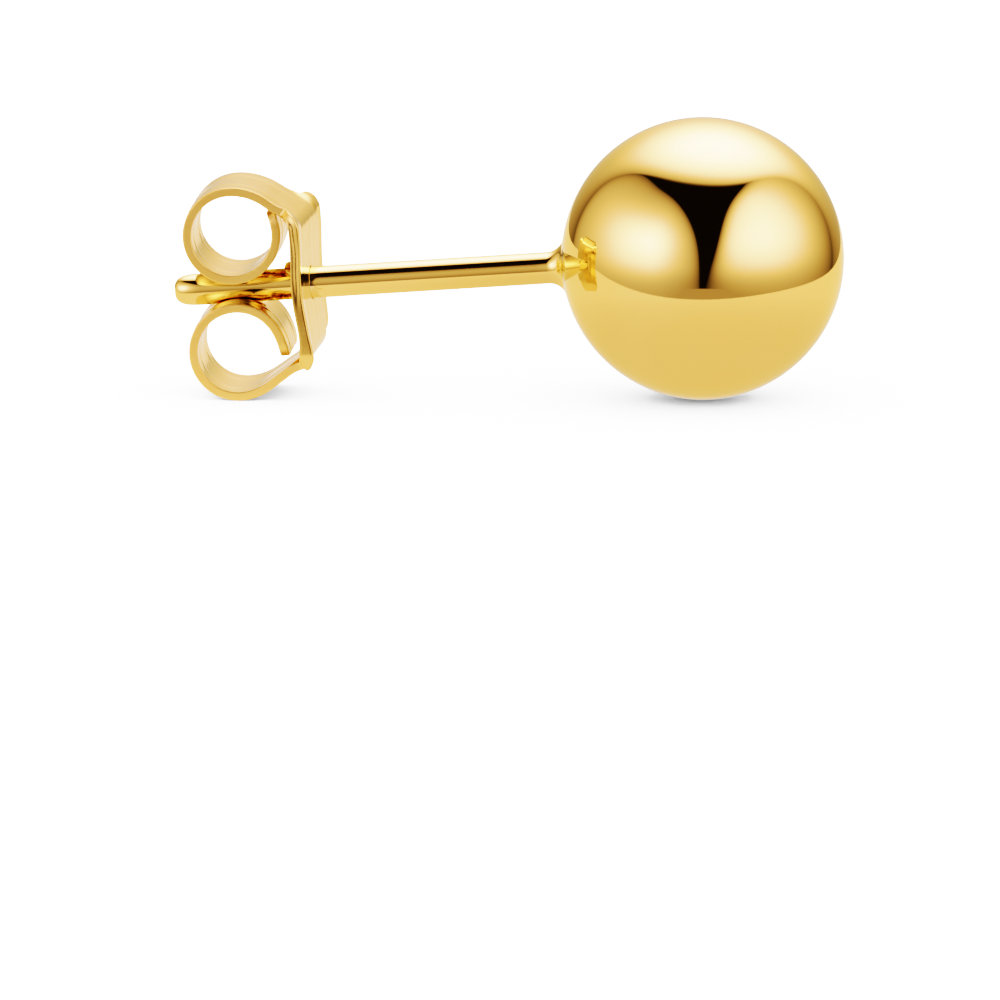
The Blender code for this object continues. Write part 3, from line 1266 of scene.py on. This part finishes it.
@dataclass(frozen=True)
class Sweep:
    """The white cloth that rises behind the earring and comes over it, lit from above."""

    middle: float = 0.065
    half_width: float = 1.12
    reach: float = 111.5
    softness: float = 0.08
    rim_shade: float = 0.77
    rim_reach: float = 0.35
    lamp_azimuth: float = 159.0
    lamp_elevation: float = 70.0
    lamp: float = 3.7
    lamp_spread: float = 37.0
    lamp_power: float = 3.0
    cloth: float = 0.1
    back_elevation: float = 7.0
    back_light: float = 0.34
    back_spread: float = 22.0

    def glow(self, right: Value, front: Value, up: Value) -> Value:
        """The sweep's light in a direction.

        Args:
            right: The direction's share to the right.
            front: Its share towards the camera.
            up: Its share upwards.

        Returns:
            Its light there, which is 0 outside the cloth.
        """
        wide = right / (squared(front) + squared(up)).math("SQRT").most(0.001)
        behind = up.math("ARCTAN2", -front) * DEGREES
        depth = 1.0 - squared((wide - self.middle) / self.half_width) - squared(behind / self.reach)
        shade = 1.0 - (depth.most(0.0) / -self.rim_reach).math("EXPONENT") * self.rim_shade
        around, above = math.radians(self.lamp_azimuth), math.radians(self.lamp_elevation)
        towards = right * (math.sin(around) * math.cos(above))
        towards += front * (math.cos(around) * math.cos(above)) + up * math.sin(above)
        away = towards.least(1.0).math("ARCCOSINE") * DEGREES
        glow = self.lamp / ((away / self.lamp_spread) ** self.lamp_power + 1.0) + self.cloth
        above = math.radians(self.back_elevation)
        towards = up * math.sin(above) - front * math.cos(above)
        away = towards.least(1.0).math("ARCCOSINE") * (DEGREES / self.back_spread)
        glow += (-squared(away)).math("EXPONENT") * self.back_light
        return depth.rise(0.0, self.softness) * shade * glow


LEFT_BOX = Softbox(
    middle=-69.5,
    half_width=67.0,
    waist=-10.0,
    height=68.0,
    side_power=2.7,
    top_power=3.0,
    foot_lean=-0.03,
    head_lean=0.0,
    softness=0.05,
    rim_shade=0.88,
    rim_reach=0.15,
    lamp_azimuth=-47.0,
    lamp_elevation=18.5,
    lamp=2.3,
    lamp_near=20.0,
    lamp_far=40.0,
    lamp_above=16.0,
    lamp_below=20.0,
    cloth=0.32,
)
RIGHT_BOX = Softbox(
    middle=71.0,
    half_width=65.5,
    waist=1.5,
    height=59.0,
    side_power=3.0,
    top_power=5.0,
    foot_lean=0.25,
    head_lean=0.32,
    softness=0.03,
    rim_shade=0.95,
    rim_reach=0.5,
    lamp_azimuth=54.0,
    lamp_elevation=22.5,
    lamp=2.75,
    lamp_near=90.0,
    lamp_far=48.0,
    lamp_above=60.0,
    lamp_below=28.0,
    cloth=0.0,
)


@dataclass(frozen=True)
class TableEdge:
    """The edge of the glowing table top that the gold reflects, as a distance from the ball's foot."""

    even: float = 0.045
    front: float = 0.042
    right: float = 0.012
    front_and_back: float = 0.001
    corners: float = -0.007
    steps: int = 160
    farthest: float = 150.0 * MM

    def distance(self, angle: float) -> float:
        """How far off the edge is.

        Args:
            angle: Round from the camera's side, to the right.

        Returns:
            The distance in metres.
        """
        near = self.even + self.front * math.cos(angle) + self.right * math.sin(angle)
        near += self.front_and_back * math.cos(2.0 * angle) + self.corners * math.sin(2.0 * angle)
        return min(MM / max(near, 0.001), self.farthest)


@dataclass
class Studio:
    """The white studio: a table, a sweep behind and above, two softboxes and the film's response."""

    camera_azimuth: float = 4.3
    dome: float = 4.6
    shadow_fill: float = 0.28
    table_albedo: float = 0.9
    table_half: float = 0.5
    table_edge: TableEdge = TableEdge()
    # Painted light: the glowing table top's strength. It is dimmer near the ball's foot and rises to the
    # far light farther off.
    mirrored_light: float = 0.99
    mirrored_far_light: float = 1.2
    mirrored_near: float = 3.0 * MM
    mirrored_reach: float = 14.0 * MM
    mirrored_height: float = 0.002 * MM
    boxes: tuple[Softbox, Softbox] = (LEFT_BOX, RIGHT_BOX)
    sweep: Sweep = Sweep()
    foot_elevation: float = -15.4
    foot_light: float = 0.5
    room_light: float = 0.05
    foot_softness: float = 0.8
    cool_lamp: float = 0.36
    cool_from: float = 0.9
    cool_full: float = 1.7
    floor_shade: float = 0.22
    floor_shade_from: float = 4.0
    most_mirrors: int = 8
    most_tinted: float = 5.0
    bounce_tint: Colour = (0.9, 1.27, 2.3)

    @property
    def sides(self) -> tuple[Vector, Vector]:
        """The directions to the camera's right and towards the camera, both level."""
        turn = math.radians(self.camera_azimuth)
        return Vector((math.cos(turn), math.sin(turn), 0.0)), Vector((math.sin(turn), -math.cos(turn), 0.0))

    def build(self, ball_middle: Vector) -> None:
        """Builds the table, the light and the film's response.

        Args:
            ball_middle: The ball's middle, about which the reflections are laid out.
        """
        self.table()
        self.glowing_table_top(ball_middle)
        self.light()
        self.film()

    def table(self) -> None:
        """The white table that the camera sees."""
        half = self.table_half
        corners = [(-half, -half, 0.0), (half, -half, 0.0), (half, half, 0.0), (-half, half, 0.0)]
        table = self.flat("table", corners)
        graph = Graph(table.data.materials[0].node_tree)
        white = (self.table_albedo, self.table_albedo, self.table_albedo, 1.0)
        matt = graph.add("ShaderNodeBsdfDiffuse", sockets={"Color": white})[0]
        fill = graph.add("ShaderNodeEmission", sockets={"Strength": self.shadow_fill})[0]
        shader = graph.add("ShaderNodeAddShader", sockets={0: matt, 1: fill})[0]
        graph.add("ShaderNodeOutputMaterial", sockets={"Surface": shader})
        table.visible_glossy = False

    def glowing_table_top(self, ball_middle: Vector) -> None:
        """Painted light: a round-edged table top that glows in place of the lit table, seen only in what
        the gold reflects, and dimmer near the ball's foot.

        Args:
            ball_middle: The ball's middle, which the top's edge is measured from.
        """
        right, front = self.sides
        corners = []
        for number in range(self.table_edge.steps):
            angle = math.tau * number / self.table_edge.steps
            out = (right * math.sin(angle) + front * math.cos(angle)) * self.table_edge.distance(angle)
            corners.append((ball_middle.x + out.x, ball_middle.y + out.y, self.mirrored_height))
        top = self.flat("glowing_table_top", corners)
        graph = Graph(top.data.materials[0].node_tree)
        x, y, _ = graph.parts(graph.add("ShaderNodeNewGeometry")["Position"])
        # Painted shade: the glow is dimmer near the ball's foot and rises with distance from it.
        away = (squared(x - ball_middle.x) + squared(y - ball_middle.y)).math("SQRT")
        rise = away.rise(self.mirrored_near, self.mirrored_reach)
        gain = rise * (self.mirrored_far_light - self.mirrored_light)
        tint = graph.vector(*self.bounced(graph.add("ShaderNodeLightPath")["Ray Depth"]))
        # Painted light: the top glows by emission and is seen only in reflections.
        sockets = {"Color": tint, "Strength": gain + self.mirrored_light}
        shader = graph.add("ShaderNodeEmission", sockets=sockets)[0]
        graph.add("ShaderNodeOutputMaterial", sockets={"Surface": shader})
        top.visible_camera = False
        top.visible_diffuse = False
        top.visible_shadow = False

    def bounced(self, mirrors: Value) -> tuple[Value, Value, Value]:
        """The light's red, green and blue after more than one mirror, so that gold in gold stays gold.

        Args:
            mirrors: How many mirrors the light's path has met.

        Returns:
            The three shares, which are 1 after a single mirror.
        """
        further = (mirrors - 1.0).most(0.0).least(self.most_tinted)
        red, green, blue = ((further * math.log(tint)).math("EXPONENT") for tint in self.bounce_tint)
        return red, green, blue

    def flat(self, name: str, corners: Sequence[tuple[float, float, float]]) -> bpy.types.Object:
        """A level stage piece with an empty material.

        Args:
            name: The piece's name.
            corners: Its corners, anticlockwise from above.

        Returns:
            Its object.
        """
        mesh = bpy.data.meshes.new(name)
        mesh.from_pydata(list(corners), [], [tuple(range(len(corners)))])
        material = bpy.data.materials.new(name)
        material.use_nodes = True
        mesh.materials.append(material)
        thing = bpy.data.objects.new(name, mesh)
        bpy.context.scene.collection.objects.link(thing)
        return thing

    def light(self) -> None:
        """The world: even light on the table, and the panels in what the gold reflects."""
        world = bpy.data.worlds.new("studio")
        world.use_nodes = True
        graph = Graph(world.node_tree)
        x, y, up = graph.parts(graph.add("ShaderNodeTexCoord")["Generated"])
        to_right, to_front = self.sides
        right = x * to_right.x + y * to_right.y
        front = x * to_front.x + y * to_front.y
        azimuth = right.math("ARCTAN2", front) * DEGREES
        elevation = up.math("ARCSINE") * DEGREES
        seen = self.sweep.glow(right, front, up)
        for box in self.boxes:
            low = 1.0 - elevation.rise(self.floor_shade_from, self.foot_elevation) * self.floor_shade
            seen = seen.most(box.glow(azimuth, elevation) * low)
        foot = elevation.rise(self.foot_elevation, self.foot_elevation - self.foot_softness)
        seen = seen.most(foot * self.foot_light) + self.room_light
        path = graph.add("ShaderNodeLightPath")
        mirrored = path["Is Glossy Ray"]
        red, green, blue = self.bounced(path["Ray Depth"] - 1.0)
        first = (3.0 - path["Ray Depth"]).clamped() * mirrored
        lamp = seen.rise(self.cool_from, self.cool_full)
        blue = blue * (lamp * first * self.cool_lamp + 1.0)
        strength = mirrored * seen + (1.0 - mirrored) * self.dome
        background = graph.add(
            "ShaderNodeBackground",
            sockets={"Color": graph.vector(red, green, blue), "Strength": strength},
        )[0]
        graph.add("ShaderNodeOutputWorld", sockets={"Surface": background})
        scene = bpy.context.scene
        scene.world = world
        world.cycles.sampling_method = "NONE"
        scene.cycles.caustics_reflective = False
        scene.cycles.glossy_bounces = self.most_mirrors

    def film(self) -> None:
        """The film's response: a soft toe and a long shoulder."""
        view = bpy.context.scene.view_settings
        view.view_transform = "Standard"
        view.look = "None"
        view.exposure = 0.0
        view.gamma = 1.0
        view.use_curve_mapping = True
        curves = view.curve_mapping
        white = 4.0
        curves.white_level = (white, white, white)
        curve = curves.curves[3]
        response = (
            (0.05, 0.003),
            (0.1, 0.014),
            (0.2, 0.085),
            (0.29, 0.18),
            (0.41, 0.335),
            (0.58, 0.51),
            (0.82, 0.68),
            (1.16, 0.848),
            (1.65, 0.922),
            (2.34, 0.964),
            (3.3, 0.99),
        )
        for seen, shown in response:
            curve.points.new(seen / white, shown)
        curves.update()


@dataclass
class Camera:
    """The camera at the photograph's viewing angle, far off with a long lens."""

    azimuth: float = 4.3
    elevation: float = 9.7
    distance: float = 0.5
    frame_width: float = 28.25 * MM
    frame_pixels: float = 1000.0
    sensor_width: float = 36.0
    ball_pixel: tuple[float, float] = (702.7, 258.3)
    roll: float = math.radians(0.03)
    nearest_share: float = 0.1
    farthest_share: float = 20.0

    def build(self, ball_middle: Vector) -> None:
        """Aims the camera so that the ball's middle falls on its pixel.

        Args:
            ball_middle: The ball's middle.
        """
        around, above = math.radians(self.azimuth), math.radians(self.elevation)
        back = Vector((math.sin(around), -math.cos(around), 0.0)) * math.cos(above)
        back.z = math.sin(above)
        right = Vector((math.cos(around), math.sin(around), 0.0))
        upward = back.cross(right)
        rolled_right = right * math.cos(self.roll) + upward * math.sin(self.roll)
        rolled_up = upward * math.cos(self.roll) - right * math.sin(self.roll)
        scale = self.frame_width / self.frame_pixels
        offset_x = (self.ball_pixel[0] - self.frame_pixels / 2) * scale
        offset_y = (self.frame_pixels / 2 - self.ball_pixel[1]) * scale
        target = ball_middle - rolled_right * offset_x - rolled_up * offset_y
        data = bpy.data.cameras.new("camera")
        data.sensor_width = self.sensor_width
        data.lens = self.sensor_width * self.distance / self.frame_width
        data.clip_start = self.distance * self.nearest_share
        data.clip_end = self.distance * self.farthest_share
        camera = bpy.data.objects.new("camera", data)
        placement = Matrix((rolled_right, rolled_up, back)).transposed().to_4x4()
        placement.translation = target + back * self.distance
        camera.matrix_world = placement
        bpy.context.scene.collection.objects.link(camera)
        bpy.context.scene.camera = camera


def main() -> None:
    """Builds the looks round the frame."""
    logging.basicConfig(level=logging.INFO, format="%(name)s: %(message)s")
    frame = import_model()
    axis = PostAxis.of_record(frame["record"])
    stud = BallAndPost()
    stud.build(axis)
    Clutch().build(axis)
    ball_middle = axis.tip + axis.towards_ball * stud.length
    Studio().build(ball_middle)
    Camera().build(ball_middle)


if __name__ == "__main__":
    main()
